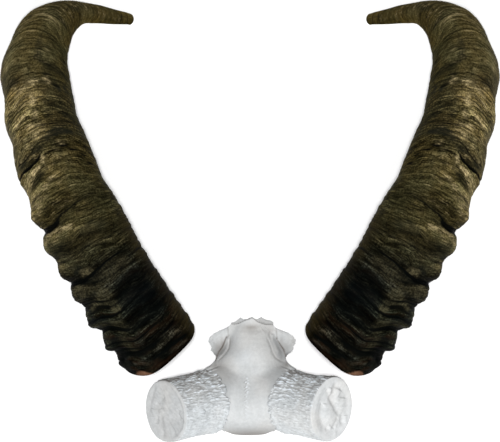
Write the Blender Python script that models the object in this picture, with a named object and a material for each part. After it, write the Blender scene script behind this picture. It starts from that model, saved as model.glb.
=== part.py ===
"""A pair of tur horn sheaths laid beside a cast skull plate, at life size, in metres with +Z up.

The set lies flat: the two horns open like a lyre, tips turned in, and the plate lies between their
bases. Every shape below is worked out in millimetres from the named sizes and turned into metres
when its mesh is made. +Y points from the horn bases to the tips, and +X to the right horn.
"""

import math

import bmesh
import bpy
import numpy as np

MILLIMETRE = 0.001

# Horn: its centre line in plan, as lengths with the inward turn in degrees over each
HORN_BASE = (112.1, -170.4)
HORN_BASE_HEADING = 32.3
HORN_BENDS = (
    (95.0, 0.0),
    (95.0, 5.5),
    (110.0, 7.0),
    (45.0, 7.5),
    (50.0, 10.5),
    (25.0, 11.5),
    (50.0, 45.0),
    (38.0, 37.0),
    (24.0, 6.0),
    (34.0, -3.0),
)
HORN_LENGTH = sum(length for length, _ in HORN_BENDS)
RIM_OVERRUN = 30.0

# Horn: half width, and the clear height under the arch, at lengths from the base
HALF_WIDTHS = (
    (-30.0, 47.0),
    (0.0, 48.5),
    (18.0, 53.0),
    (150.0, 53.0),
    (205.0, 51.0),
    (262.0, 49.5),
    (318.0, 46.0),
    (375.0, 44.5),
    (395.0, 44.0),
    (415.0, 40.5),
    (452.0, 35.0),
    (471.0, 28.5),
    (490.0, 20.5),
    (508.0, 13.5),
    (526.0, 10.5),
    (552.0, 8.0),
    (570.0, 6.5),
)
UNDERSIDE_HEIGHTS = (
    (-30.0, -3.2),
    (0.0, 4.8),
    (60.0, 20.0),
    (120.0, 31.0),
    (200.0, 38.0),
    (262.0, 34.0),
    (318.0, 23.0),
    (375.0, 11.0),
    (434.0, 0.2),
    (470.0, -1.7),
    (510.0, 0.0),
    (570.0, 0.0),
)
DEPTH_TO_WIDTH = 0.95
SECTION_SQUARENESS = 2.25
SOFTEN = 14.0

# Horn: the keel along the upper side near the base, and the annual rings
KEEL_ANGLE = 112.0
KEEL_SPREAD = 26.0
KEEL_HEIGHTS = ((0.0, 6.0), (90.0, 5.0), (240.0, 0.0))
RING_NOTCHES = (-14.0, 27.0, 60.0, 94.0, 130.0, 164.0, 205.0, 262.0, 330.0, 392.0)
RING_CREST_SHARE = 0.42
RING_DEPTHS = ((0.0, 3.4), (230.0, 3.4), (330.0, 1.8), (440.0, 0.8), (500.0, 0.0))
RING_MIDDLE_ANGLE = 150.0
RING_INNER_SHARE = 0.28
RING_OUTER_LAG = ((0.0, 0.0), (25.0, 18.0), (60.0, 26.0), (150.0, 0.0), (250.0, -16.0), (480.0, -8.0))
RING_INNER_LAG = ((0.0, 0.0), (30.0, 4.0), (150.0, 0.0), (250.0, -14.0), (480.0, -6.0))

# Horn: how far the mouth's rim stands from a square cut, at angles round the horn, and the socket
RIM_OFFSETS = (
    (0.0, 6.0),
    (60.0, 9.0),
    (112.0, 5.0),
    (175.0, 12.0),
    (222.0, -18.0),
    (270.0, -20.0),
    (320.0, -8.0),
    (360.0, 6.0),
)
RIM_FADE = 45.0
SOCKET_WALLS = ((0.0, 6.5), (40.0, 8.0), (100.0, 13.0), (150.0, 24.0), (172.0, 36.0))
SOCKET_DEPTH = 172.0
SOCKET_ROWS = 8

# Horn: how finely it is cut into facets
HORN_SIDES = 26
RING_ROW_SHARES = (0.0, 0.2, RING_CREST_SHARE, 0.72)
RIM_ROW_STEP = 2.5
UPPER_ROW_STEP = 12.5
TIP_ROUNDING = 6.0
TIP_ROWS = 3

# Plate: its own frame has x across, y forward, and its zero between the middles of the two cores
PLATE_PLACE = (-1.5, -232.1)
FRONT_DRIFT = 0.045
PLATE_FRONT = 100.0
PLATE_REAR = -46.0
OUTLINE_HALF_WIDTHS = (
    (-46.0, 17.0),
    (-43.0, 29.0),
    (-38.0, 35.0),
    (-25.0, 42.0),
    (0.0, 47.0),
    (40.0, 50.0),
    (48.0, 46.5),
    (56.0, 45.0),
    (66.0, 52.0),
    (76.0, 56.0),
    (84.0, 47.0),
    (92.0, 34.0),
    (100.0, 25.0),
)
FOREHEAD_HALF_WIDTHS = (
    (-46.0, 20.0),
    (-43.0, 32.0),
    (-38.0, 40.0),
    (-25.0, 50.0),
    (0.0, 54.0),
    (40.0, 52.0),
    (48.0, 46.5),
    (56.0, 41.0),
    (66.0, 34.0),
    (79.0, 30.5),
    (92.0, 28.0),
    (100.0, 25.5),
)
FOREHEAD_HEIGHTS = (
    (-46.0, 18.0),
    (-40.0, 44.0),
    (-28.0, 64.0),
    (-12.0, 71.0),
    (5.0, 66.0),
    (20.0, 57.0),
    (38.0, 47.0),
    (48.0, 45.0),
    (57.0, 43.0),
    (72.0, 34.0),
    (88.0, 28.0),
    (100.0, 26.0),
)
FOREHEAD_SQUARENESS = 3.0
EDGE_HEIGHT = 7.0
WING_FLOOR_HEIGHT = 12.0
WING_RIM_RISE = 7.0
FRONT_LOBES = ((-12.5, 5.5), (2.5, 6.5), (14.0, 5.5))
FRONT_LOBE_HALF_WIDTH = 5.0
FRONT_LOBE_HEIGHT = 17.0
PLATE_COLUMNS = 26
PLATE_ROWS = 30

# Horn cores: the middle of each cut end, the way each core points, and its girth
CORE_END = (104.2, -10.0, 87.0)
CORE_RISE = 43.0
CORE_SWEEP = 8.0
CORE_LENGTH = 118.0
CORE_RADII = ((0.0, 39.0), (50.0, 39.2), (75.0, 41.0), (95.0, 44.0), (118.0, 45.0))
CORE_SIDES = 36
CORE_ROWS = 7

HORN_COLOUR = (0.060, 0.050, 0.034)
PLATE_COLOUR = (0.80, 0.80, 0.79)


def eased(table, where, soften=SOFTEN):
    """Read a table of (place, value) pairs along a rounded line instead of a broken one."""
    places, values = zip(*table)
    spread = np.linspace(-soften, soften, 9)
    return np.mean([np.interp(np.asarray(where) + step, places, values) for step in spread], axis=0)


def eased_round(table, degrees, soften=12.0):
    """The same for a table of (angle, value) pairs that closes on itself at 360 degrees."""
    angles, values = zip(*table)
    spread = np.linspace(-soften, soften, 9)
    turned = [np.interp((np.asarray(degrees) + step) % 360.0, angles, values) for step in spread]
    return np.mean(turned, axis=0)


def bell(distance, spread):
    return np.exp(-((distance / spread) ** 2))


def material(name, colour, roughness):
    made = bpy.data.materials.new(name)
    made.use_nodes = True
    shader = made.node_tree.nodes["Principled BSDF"]
    shader.inputs["Base Color"].default_value = (*colour, 1.0)
    shader.inputs["Roughness"].default_value = roughness
    shader.inputs["Metallic"].default_value = 0.0
    return made


def add_object(name, mesh, surface):
    mesh.materials.clear()
    mesh.materials.append(surface)
    mesh.shade_smooth()
    mesh.set_sharp_from_angle(angle=math.radians(50.0))
    made = bpy.data.objects.new(name, mesh)
    bpy.context.scene.collection.objects.link(made)
    return made


def closed_mesh(name, points, faces):
    """A mesh in metres from points in millimetres, with its faces turned outward."""
    shape = bmesh.new()
    corners = [shape.verts.new([float(number) * MILLIMETRE for number in point]) for point in points]
    for face in faces:
        shape.faces.new([corners[index] for index in face])
    bmesh.ops.recalc_face_normals(shape, faces=shape.faces[:])
    mesh = bpy.data.meshes.new(name)
    shape.to_mesh(mesh)
    shape.free()
    return mesh


class HornPath:
    """The horn's centre line: where it is, and how it heads and climbs, at a length from the base."""

    def __init__(self):
        self.lengths = np.arange(-RIM_OVERRUN, HORN_LENGTH + 1.0, 1.0)
        ends = np.cumsum([0.0] + [length for length, _ in HORN_BENDS])
        turned = np.cumsum([0.0] + [turn for _, turn in HORN_BENDS])
        turns = np.interp(self.lengths, ends, turned)
        self.headings = np.radians(HORN_BASE_HEADING - turns)
        self.x = self.summed(np.sin(self.headings)) + HORN_BASE[0]
        self.y = self.summed(np.cos(self.headings)) + HORN_BASE[1]
        half_depths = half_width(self.lengths) * DEPTH_TO_WIDTH
        self.z = eased(UNDERSIDE_HEIGHTS, self.lengths, 25.0) + half_depths
        self.pitches = np.arctan(np.gradient(self.z, self.lengths))

    def summed(self, slopes):
        middles = (slopes[1:] + slopes[:-1]) / 2.0
        total = np.concatenate([[0.0], np.cumsum(middles)])
        return total - np.interp(0.0, self.lengths, total)

    def surface_point(self, length, degrees, radius):
        """A point at an angle round the line: 0 is the side towards the other horn, and 90 is up."""
        heading = np.interp(length, self.lengths, self.headings)
        pitch = np.interp(length, self.lengths, self.pitches)
        across = radius * np.cos(np.radians(degrees))
        above = radius * np.sin(np.radians(degrees))
        back = above * np.sin(pitch)
        x = np.interp(length, self.lengths, self.x) - across * np.cos(heading) - back * np.sin(heading)
        y = np.interp(length, self.lengths, self.y) + across * np.sin(heading) - back * np.cos(heading)
        z = np.interp(length, self.lengths, self.z) + above * np.cos(pitch)
        return np.stack([x, y, z], axis=-1)


def half_width(length):
    return eased(HALF_WIDTHS, length, 9.0)


def section_radius(length, degrees):
    """The horn's radius without its rings: a squarish oval with the keel raised on it."""
    turn = np.radians(degrees)
    width = half_width(length)
    depth = width * DEPTH_TO_WIDTH
    across = np.abs(np.cos(turn) / width) ** SECTION_SQUARENESS
    above = np.abs(np.sin(turn) / depth) ** SECTION_SQUARENESS
    keel = eased(KEEL_HEIGHTS, length) * bell(degrees - KEEL_ANGLE, KEEL_SPREAD)
    return (across + above) ** (-1.0 / SECTION_SQUARENESS) + keel


def ring_wave(length):
    """Between -1 in a ring's notch and 1 on its crest."""
    share = np.interp(length, RING_NOTCHES, range(len(RING_NOTCHES))) % 1.0
    rising = share / RING_CREST_SHARE
    falling = (1.0 - share) / (1.0 - RING_CREST_SHARE)
    return -np.cos(math.pi * np.minimum(rising, falling))


def ring_strength(degrees):
    facing = 0.5 + 0.5 * np.cos(np.radians(degrees - RING_MIDDLE_ANGLE))
    return RING_INNER_SHARE + (1.0 - RING_INNER_SHARE) * facing


def ring_lag(length, degrees):
    """How far towards the tip a ring lies at an angle round the horn, measured from its keel."""
    outer = eased(RING_OUTER_LAG, length) * bell(degrees - 190.0, 45.0)
    inner = eased(RING_INNER_LAG, length) * (bell(degrees, 60.0) + bell(degrees - 360.0, 60.0))
    return outer + inner


def outer_row(path, row, degrees):
    rim = eased_round(RIM_OFFSETS, degrees) * np.clip(1.0 - row / RIM_FADE, 0.0, 1.0) ** 1.5
    length = np.clip(row + rim + ring_lag(row, degrees), -RIM_OVERRUN, HORN_LENGTH)
    relief = eased(RING_DEPTHS, row) * ring_strength(degrees) * ring_wave(row)
    radius = section_radius(length, degrees) + relief
    return path.surface_point(length, degrees, radius)


def horn_rows():
    """The lengths at which the outside is drawn: a few to each ring, then even steps to the tip."""
    rows = [0.0]
    for start, end in zip(RING_NOTCHES[:-1], RING_NOTCHES[1:]):
        rows += [start + (end - start) * share for share in RING_ROW_SHARES]
    last = HORN_LENGTH - TIP_ROUNDING
    count = round((last - RING_NOTCHES[-1]) / UPPER_ROW_STEP)
    rows += list(np.linspace(RING_NOTCHES[-1], last, count + 1))
    return [row for row in rows if row == 0.0 or row > RIM_ROW_STEP]


def horn_points(path):
    degrees = np.arange(HORN_SIDES) * 360.0 / HORN_SIDES
    rows = [outer_row(path, row, degrees) for row in horn_rows()]
    tip_start = HORN_LENGTH - TIP_ROUNDING
    for number in range(1, TIP_ROWS):
        turn = math.pi / 2.0 * number / TIP_ROWS
        length = tip_start + TIP_ROUNDING * math.sin(turn)
        radius = section_radius(tip_start, degrees) * math.cos(turn)
        rows.append(path.surface_point(length, degrees, radius))
    tip = path.surface_point(HORN_LENGTH, 0.0, 0.0)

    socket = []
    for depth in np.linspace(0.0, SOCKET_DEPTH, SOCKET_ROWS + 1)[:-1]:
        rim = eased_round(RIM_OFFSETS, degrees) * (1.0 - depth / SOCKET_DEPTH) ** 2
        length = depth + rim
        radius = section_radius(length, degrees) - np.interp(depth, *zip(*SOCKET_WALLS))
        socket.append(path.surface_point(length, degrees, radius))
    socket_end = path.surface_point(SOCKET_DEPTH, 0.0, 0.0)
    return rows, tip, socket, socket_end


def horn_mesh(name, side):
    """One sheath: outside, rim and socket in one closed surface. side is -1 for left and 1 for right."""
    rows, tip, socket, socket_end = horn_points(HornPath())
    rings = socket[::-1] + rows
    points = np.concatenate(rings + [tip[None, :], socket_end[None, :]])
    points[:, 0] *= side
    tip_index = len(points) - 2
    socket_index = len(points) - 1
    faces = []
    for ring in range(len(rings) - 1):
        for number in range(HORN_SIDES):
            ahead = (number + 1) % HORN_SIDES
            low = ring * HORN_SIDES
            high = low + HORN_SIDES
            faces.append((low + number, low + ahead, high + ahead, high + number))
    last = (len(rings) - 1) * HORN_SIDES
    for number in range(HORN_SIDES):
        ahead = (number + 1) % HORN_SIDES
        faces.append((last + number, last + ahead, tip_index))
        faces.append((ahead, number, socket_index))
    return closed_mesh(name, points, faces)


def plate_height(x, y):
    """The height of the plate's upper face: the arched forehead, and the rims over the orbits."""
    half = eased(FOREHEAD_HALF_WIDTHS, y, 3.0)
    outline = eased(OUTLINE_HALF_WIDTHS, y, 3.0)
    inside = np.clip(1.0 - (np.abs(x) / half) ** FOREHEAD_SQUARENESS, 0.0, 1.0)
    forehead = eased(FOREHEAD_HEIGHTS, y, 4.0) * inside ** (1.0 / FOREHEAD_SQUARENESS)
    reach = np.clip((np.abs(x) - half) / np.maximum(outline - half, 1.0), 0.0, 1.0)
    wing = WING_FLOOR_HEIGHT + WING_RIM_RISE * reach**2
    return np.maximum(np.maximum(forehead, wing), EDGE_HEIGHT)


def front_lobe_reach(x):
    """How far the torn front edge juts past its straight line."""
    lobes = [length * bell(x - middle, FRONT_LOBE_HALF_WIDTH) for middle, length in FRONT_LOBES]
    return sum(lobes)


def plate_body_mesh(name):
    """The plate without its cores: a closed block with a flat underside and the modelled upper face."""
    columns = np.sin(np.linspace(-1.0, 1.0, PLATE_COLUMNS + 1) * math.pi / 2.0)
    columns = 0.55 * columns + 0.45 * np.linspace(-1.0, 1.0, PLATE_COLUMNS + 1)
    forward = np.linspace(PLATE_REAR, PLATE_FRONT, PLATE_ROWS + 1)
    top = []
    bottom = []
    for y in forward:
        x = columns * eased(OUTLINE_HALF_WIDTHS, y, 3.0)
        z = plate_height(x, y)
        if y == forward[0]:
            z = np.full_like(z, FOREHEAD_HEIGHTS[0][1] / 2.0)
        drifted = x + FRONT_DRIFT * max(y, 0.0)
        top.append(np.stack([drifted, np.full_like(x, y), z], axis=-1))
        bottom.append(np.stack([drifted, np.full_like(x, y), np.zeros_like(x)], axis=-1))
    x = columns * OUTLINE_HALF_WIDTHS[-1][1]
    torn = PLATE_FRONT + front_lobe_reach(x)
    low_edge = np.minimum(FRONT_LOBE_HEIGHT, top[-1][:, 2])
    drifted = x + FRONT_DRIFT * PLATE_FRONT
    top.append(np.stack([drifted, torn, low_edge], axis=-1))
    bottom.append(np.stack([drifted, torn, np.zeros_like(x)], axis=-1))

    width = PLATE_COLUMNS + 1
    rows = len(top)
    points = np.concatenate(top + bottom)
    under = rows * width
    faces = []
    for row in range(rows - 1):
        for column in range(PLATE_COLUMNS):
            a = row * width + column
            faces.append((a, a + 1, a + width + 1, a + width))
            faces.append((under + a, under + a + width, under + a + width + 1, under + a + 1))
        for a in (row * width, row * width + PLATE_COLUMNS):
            faces.append((a, a + width, under + a + width, under + a))
    for a in range(PLATE_COLUMNS):
        faces.append((a, a + 1, under + a + 1, under + a))
        b = (rows - 1) * width + a
        faces.append((b, b + 1, under + b + 1, under + b))
    return closed_mesh(name, points, faces)


def core_mesh(name, side):
    """One horn core, from its flat cut end down into the plate."""
    rise = math.radians(CORE_RISE)
    sweep = math.radians(CORE_SWEEP)
    along = np.array([math.cos(rise) * math.cos(sweep), -math.cos(rise) * math.sin(sweep), math.sin(rise)])
    across = np.array([math.sin(sweep), math.cos(sweep), 0.0])
    above = np.cross(across, along)
    turns = np.arange(CORE_SIDES) * 2.0 * math.pi / CORE_SIDES
    around = np.outer(np.cos(turns), across) + np.outer(np.sin(turns), above)
    depths = np.linspace(0.0, CORE_LENGTH, CORE_ROWS)
    radii = eased(CORE_RADII, depths, 6.0)
    end = np.array(CORE_END)
    rings = [end - along * depth + around * radius for depth, radius in zip(depths, radii)]
    points = np.concatenate(rings)
    points[:, 0] *= side
    faces = []
    for ring in range(CORE_ROWS - 1):
        for number in range(CORE_SIDES):
            ahead = (number + 1) % CORE_SIDES
            low = ring * CORE_SIDES
            high = low + CORE_SIDES
            faces.append((low + number, low + ahead, high + ahead, high + number))
    faces.append(tuple(range(CORE_SIDES)))
    faces.append(tuple(range((CORE_ROWS - 1) * CORE_SIDES, CORE_ROWS * CORE_SIDES)))
    return closed_mesh(name, points, faces)


def cutter_box(name, low, high):
    corners = [(x, y, z) for x in (low[0], high[0]) for y in (low[1], high[1]) for z in (low[2], high[2])]
    sides = ((0, 1, 3, 2), (4, 6, 7, 5), (0, 4, 5, 1), (2, 3, 7, 6), (0, 2, 6, 4), (1, 5, 7, 3))
    return closed_mesh(name, corners, sides)


def boolean(target, tool, operation):
    step = target.modifiers.new(operation.lower(), "BOOLEAN")
    step.operation = operation
    step.solver = "EXACT"
    step.object = tool
    tool.hide_render = True
    tool.display_type = "WIRE"


def apply_modifiers(target):
    """Keep the evaluated shape as the object's own mesh, so that the pieces it used can go."""
    evaluated = target.evaluated_get(bpy.context.evaluated_depsgraph_get())
    mesh = bpy.data.meshes.new_from_object(evaluated)
    target.modifiers.clear()
    target.data = mesh


def make_horn(name, side, surface):
    return add_object(name, horn_mesh(name, side), surface)


def make_plate(surface):
    """The cast plate is one solid: the forehead block with both cores fused to it, cut flat below."""
    plate = add_object("skull_plate", plate_body_mesh("skull_plate"), surface)
    tools = []
    for side, word in ((-1, "left"), (1, "right")):
        core = add_object(f"core_{word}", core_mesh(f"core_{word}", side), surface)
        boolean(plate, core, "UNION")
        tools.append(core)
    below = add_object("below_floor", cutter_box("below_floor", (-300, -300, -200), (300, 300, 0)), surface)
    boolean(plate, below, "DIFFERENCE")
    tools.append(below)
    bpy.context.view_layer.update()
    apply_modifiers(plate)
    for tool in tools:
        bpy.data.objects.remove(tool)
    plate.location = (PLATE_PLACE[0] * MILLIMETRE, PLATE_PLACE[1] * MILLIMETRE, 0.0)
    return plate


def main():
    for leftover in list(bpy.data.objects):
        bpy.data.objects.remove(leftover)
    horn = material("horn", HORN_COLOUR, 0.62)
    plaster = material("cast_plaster", PLATE_COLOUR, 0.55)
    make_horn("horn_left", -1, horn)
    make_horn("horn_right", 1, horn)
    make_plate(plaster)


main()
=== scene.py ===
"""Two tur horn sheaths laid beside a cast skull plate, seen from straight above on a white floor.

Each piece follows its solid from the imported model. Shapes are worked out in millimetres and turned
into metres when their meshes are made. +Y points from the horn bases to the tips.
"""

import math

import bpy
import numpy as np
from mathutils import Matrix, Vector


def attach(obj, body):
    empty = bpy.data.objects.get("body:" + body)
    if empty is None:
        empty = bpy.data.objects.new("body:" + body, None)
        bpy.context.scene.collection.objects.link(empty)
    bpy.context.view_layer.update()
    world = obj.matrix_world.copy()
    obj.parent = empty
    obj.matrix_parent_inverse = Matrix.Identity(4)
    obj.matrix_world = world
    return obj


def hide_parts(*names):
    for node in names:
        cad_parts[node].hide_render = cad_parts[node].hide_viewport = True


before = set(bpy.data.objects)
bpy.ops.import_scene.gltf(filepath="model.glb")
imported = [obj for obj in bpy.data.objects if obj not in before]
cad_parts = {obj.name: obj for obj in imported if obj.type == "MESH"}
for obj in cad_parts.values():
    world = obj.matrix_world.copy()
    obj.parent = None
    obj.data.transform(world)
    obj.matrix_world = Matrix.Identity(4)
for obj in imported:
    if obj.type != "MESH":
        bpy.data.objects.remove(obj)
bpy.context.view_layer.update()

MILLIMETRE = 0.001

# Camera: straight above the middle of the floor that it shows
CAMERA_PLACE = (0, -0.0035, 2.6)
CAMERA_LENS = 144
CAMERA_SENSOR = 36

# Light: a soft lamp right beside the camera, so that shadows hide, and a key light from the front
LAMP_SIZE = 0.3
LAMP_RISE = 0.05
LAMP_WATTS = 68
KEY_STRENGTH = 1.8
KEY_DIRECTION = (0, -1, 1)
KEY_SOFTNESS = 35
SKY_STRENGTH = 0.12

# Floor: how far it reaches each way, and its colour
FLOOR_REACH = 4
FLOOR_COLOUR = (0.96, 0.96, 0.96, 1)

# Horn: its centre line in plan, as lengths with the inward turn in degrees over each
HORN_BASE = (112.1, -170.4)
HORN_BASE_HEADING = 32.3
HORN_BENDS = (
    (95, 0), (95, 5.5), (110, 7), (45, 7.5), (50, 10.5), (25, 11.5), (50, 45), (38, 37), (24, 6),
    (34, -3),
)
HORN_LENGTH = sum(length for length, _ in HORN_BENDS)
RIM_OVERRUN = 30
HALF_WIDTHS = (
    (-30, 47), (0, 48.5), (18, 53), (150, 53), (205, 51), (262, 49.5), (318, 46), (375, 44.5),
    (395, 44), (415, 40.5), (452, 35), (471, 28.5), (490, 20.5), (508, 13.5), (526, 10.5), (552, 8),
    (570, 6.5),
)
UNDERSIDE_HEIGHTS = (
    (-30, -3.2), (0, 4.8), (60, 20), (120, 31), (200, 38), (262, 34), (318, 23), (375, 11), (434, 0.2),
    (470, -1.7), (510, 0), (570, 0),
)
DEPTH_TO_WIDTH = 0.95
SECTION_SQUARENESS = 2.25
SOFTEN = 14
KEEL_ANGLE = 112
KEEL_SPREAD = 26
KEEL_HEIGHTS = ((0, 6), (90, 5), (240, 0))

# Horn: the rings bend where they cross the keel near the base, and arch over the back further up
RING_NOTCHES = (-14, 27, 60, 94, 130, 164, 205, 262, 330, 392)
RING_CREST_SHARE = 0.42
RING_DEPTHS = ((0, 3.4), (230, 3.4), (330, 1.8), (440, 0.8), (500, 0))
RING_MIDDLE_ANGLE = 150
RING_INNER_SHARE = 0.05
KEEL_DIP_ANGLE = 108
KEEL_DIP_OUTER = ((0, 0), (25, 6), (58, 13), (80, 9), (100, 7), (140, 0))
EDGE_LAG = ((0, -4), (60, -6), (94, 0), (130, 3), (164, 6), (205, 9), (262, 3), (392, -5))
KEEL_DIP_INNER = ((0, 0), (80, 4), (140, 0))
RING_ARCH = ((0, 0), (140, 0), (215, 9), (280, 15), (460, 17), (520, 6), (566, 0))

# Horn: creases as (ring, first angle, last angle, depth, half width, extra depth on the outer side)
CREASES = (
    (37, 25, 100, 0.6, 1.3, 0), (33, 112, 180, 1.4, 1.5, 0.4), (59, 108, 178, 1.6, 1.6, 0.4),
    (66, 30, 95, 0.5, 1.2, 0), (100, 106, 170, 1.2, 1.6, 0.4), (148, 40, 84, 0.5, 1, 0),
    (188, 20, 92, 0.5, 1.3, 0), (243, 100, 165, 0.5, 1.8, 0), (265, 28, 36, 1.4, 1.1, 0),
    (274, 34, 42, 1.6, 1.1, 0), (277, 48, 58, 1.8, 1.1, 0), (282, 62, 74, 1.4, 1.1, 0),
    (313, 55, 90, 0.5, 1.2, 0), (334, 42, 56, 0.9, 1.5, 0), (368, 48, 56, 1.6, 1.6, 0),
    (383, 62, 70, 1.6, 1.2, 0), (408, 20, 62, 0.4, 1, 0), (424, 20, 76, 0.4, 1.2, 0),
    (440, 60, 170, 0.4, 1.1, 0), (474, 60, 165, 0.3, 1, 0), (512, 30, 150, 0.25, 1.2, 0),
)
CREASE_OUTER_ANGLE = 150
CREASE_OUTER_SPREAD = 34

# Horn: cracks that wander over it, as (points by ring and angle, half width, depth)
CRACKS = (
    (((11, 36), (13, 64), (15, 90), (16, 108)), 1.7, 1.2),
    (((19, 190), (17, 152), (24, 138), (27, 122), (27, 104)), 2.3, 2),
    (((44, 192), (44, 150), (43, 126), (45, 100), (45, 36)), 1.5, 1.7),
    (((76, 192), (76, 150), (78, 122), (81, 104), (82, 70), (81, 34)), 1.5, 1.8),
    (((129, 192), (130, 150), (131, 124), (135, 104), (139, 85), (141, 62), (140, 38)), 1.6, 1.8),
    (((205, 196), (203.5, 165), (203, 140), (205.5, 114)), 4, 4.6),
    (((206, 126), (210, 108), (211, 95), (214, 80), (218, 62), (220, 50), (219, 34)), 0.7, 0.8),
    (((286, 184), (281, 160), (279, 143), (276.5, 126), (277, 115), (280, 104), (285, 90)), 1, 1.7),
    (((279, 144), (276.5, 126), (276.5, 112), (279.5, 100)), 1.5, 1.6),
    (((292, 152), (286.5, 133), (287, 118), (291, 103), (298, 84)), 1.1, 1.1),
    (((346, 172), (342, 140), (343, 118), (344, 94)), 1, 0.7),
    (((375, 176), (379, 142), (381, 118), (385, 100)), 1.2, 0.9),
    (((398, 84), (394, 60), (393, 14)), 1.5, 0.6), (((398, 115), (414, 106), (431, 88)), 1.2, 0.6),
    (((456, 176), (459, 120), (461, 92), (465, 66), (471, 38)), 1.2, 0.7),
    (((546, 180), (544, 150), (544, 112)), 0.8, 0.6),
)
CRACK_DEGREE = 0.85

# Horn: knobs between the creases as (ring, angle, spread along, spread in degrees, height)
KNOBS = (
    (12, 122, 6, 13, 1.8), (16, 165, 6, 16, 2), (27, 140, 4, 18, 1.8), (40, 150, 5, 22, 2.2),
    (53, 138, 4.5, 20, 1.8), (68, 128, 6, 14, 1.8), (70, 165, 7, 20, 2), (96, 104, 7, 10, 2.2),
    (97, 138, 6, 16, 2.4), (118, 128, 5, 12, 1.8), (121, 160, 6, 14, 1.8), (150, 150, 8, 18, 1.4),
    (194, 142, 7, 22, 2.8), (229, 150, 7, 22, 1.6), (268, 132, 5, 20, 1.6), (312, 150, 10, 24, 1.2),
)

# Horn: pale patches, partly wear and partly painted highlights on knobs and the lips of cracks, and dark
# patches, partly stains and partly painted shadow on the side turned from the light, as (ring, angle,
# spread along, spread in degrees, strength)
PALE_AND_HIGHLIGHT_PATCHES = (
    (12, 108, 9, 6, 0.2), (21, 112, 1.6, 14, 0.5), (22, 74, 1.4, 30, 0.28), (38, 115, 8, 3.5, 0.9),
    (64, 113, 11, 6, 1), (64, 138, 8, 12, 0.7), (88, 105, 7, 3.5, 1.1), (93, 127, 5.5, 12, 1.05),
    (108, 108, 12, 5, 0.9), (119, 134, 6, 19, 1.05), (138, 113, 4.5, 6, 1.2), (126, 80, 9, 22, 0.55),
    (158, 135, 9, 22, 0.3), (193, 106, 3.2, 6, 1.2), (196, 122, 3.2, 9, 1), (195, 150, 7, 18, 0.5),
    (236, 142, 10, 18, 0.3), (246, 114, 2.6, 6, 0.9), (252, 99, 2.2, 7, 0.75), (256, 154, 12, 10, 0.35),
    (269, 122, 2.4, 6, 1.3), (273, 104, 4.5, 4, 1.4), (269, 136, 3, 8, 0.25), (285, 70, 3, 4, 0.35),
    (318, 109, 3.2, 5, 0.9), (330, 94, 3.4, 5, 0.75), (333, 126, 3.5, 10, 1), (318, 132, 20, 24, 0.15),
    (308, 94, 10, 10, 0.35), (347, 94, 5, 5, 0.7), (367, 113, 4, 8, 0.5), (371, 88, 3, 7, 0.8),
    (358, 106, 15, 22, 0.2), (374, 68, 4.5, 5, 0.65), (457, 116, 2.2, 30, 0.3),
)
STAINS_AND_SHADOWS = (
    (13, 70, 4, 34, 0.55), (14, 147, 6, 9, 1), (27, 130, 5, 15, 1), (27, 100, 4, 9, 0.6),
    (44, 127, 4, 13, 1), (45, 100, 3.5, 10, 0.6), (82, 68, 28, 26, 0.82), (77, 142, 2.6, 22, 1),
    (109, 130, 7, 7, 0.6), (131, 132, 4, 20, 1), (147, 122, 5, 7, 0.75), (178, 133, 6, 18, 0.6),
    (181, 80, 5.5, 22, 0.4), (203, 150, 4, 26, 0.85), (262, 117, 3, 5, 0.5), (258, 136, 6, 10, 0.4),
    (284, 123, 4.4, 22, 0.76), (289, 142, 4.5, 14, 0.5), (291, 104, 4.5, 13, 0.5),
    (295, 82, 6, 9, 0.75), (301, 62, 4, 17, 0.95), (379, 135, 4, 18, 0.55), (389, 138, 11, 18, 0.3),
    (394, 42, 5, 26, 0.45), (407, 84, 8, 6, 0.5), (423, 88, 7, 5, 0.5), (366, 50, 5, 4, 0.5),
    (371, 35, 4, 4, 0.5), (450, 56, 2.4, 5, 0.5), (464, 86, 3, 24, 0.4), (488, 110, 7, 9, 0.35),
    (501, 130, 7, 9, 0.35), (553, 105, 4.5, 7, 0.5),
)

# Horn: the mouth's rim by angle, and what is added to the outline on each side along its length
RIM_OFFSETS = ((0, 6), (60, 9), (112, 5), (175, 12), (222, -18), (270, -20), (320, -8), (360, 6))
RIM_FADE = 45
INNER_TRIM = (
    (0, 1.5), (20, 1), (40, -0.8), (134, -2), (160, 0.2), (198, 0.8), (212, -0.5), (230, -3.6),
    (262, -2), (302, -0.5), (318, -1.3), (331, -3), (350, -1.7), (376, -1.9), (404, -3.6), (426, -2.4),
    (462, -2.3), (478, -4.2), (501, -5.6), (512, -2), (534, -0.2), (566, -0.6),
)
OUTER_TRIM = (
    (0, -4.6), (8, -4), (22, 0.4), (38, -2), (60, -0.6), (86, 1.5), (104, -0.3), (150, -1), (166, 1.5),
    (184, 2.4), (214, 1.9), (230, -0.6), (246, 1.2), (294, -0.2), (330, 0.4), (358, -1.4), (372, 0.4),
    (388, 3.6), (406, 2.6), (422, -0.7), (452, 1.4), (470, -0.6), (500, 0), (520, 2.2), (566, 0.4),
)
INNER_TRIM_SPREAD = 50
OUTER_TRIM_ANGLE = 182
OUTER_TRIM_SPREAD = 44
UNDERSIDE_ANGLE = 270
UNDERSIDE_WEAR = 0.8

# Horn: the reddish rim as (middle angle, spread in degrees, width), and how strong fine detail is
RED_RIM = (122, 15, 9)
DETAIL_STRENGTHS = (
    (0, 1.15), (0.18, 1.12), (0.24, 1), (0.31, 0.64), (0.43, 0.66), (0.49, 0.9), (0.61, 1),
    (0.67, 0.72), (0.8, 0.72), (0.9, 0.52), (1, 0.4),
)

# Horn: the socket's wall at each depth, and how finely all is drawn
SOCKET_WALLS = ((0, 6.5), (40, 8), (100, 13), (150, 24), (172, 36))
SOCKET_DEPTH = 172
SOCKET_ROWS = 60
SOCKET_GIRTH = 30
HORN_SIDES = 150
HORN_ROW_STEP = 0.9
TIP_ROUNDING = 6
TIP_ROWS = 8
HORN_SEED = 41
HORN_GLOSS = 0.006
LIGHT_TO_COLOUR = 0.667
NOISE_START = -60

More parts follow.
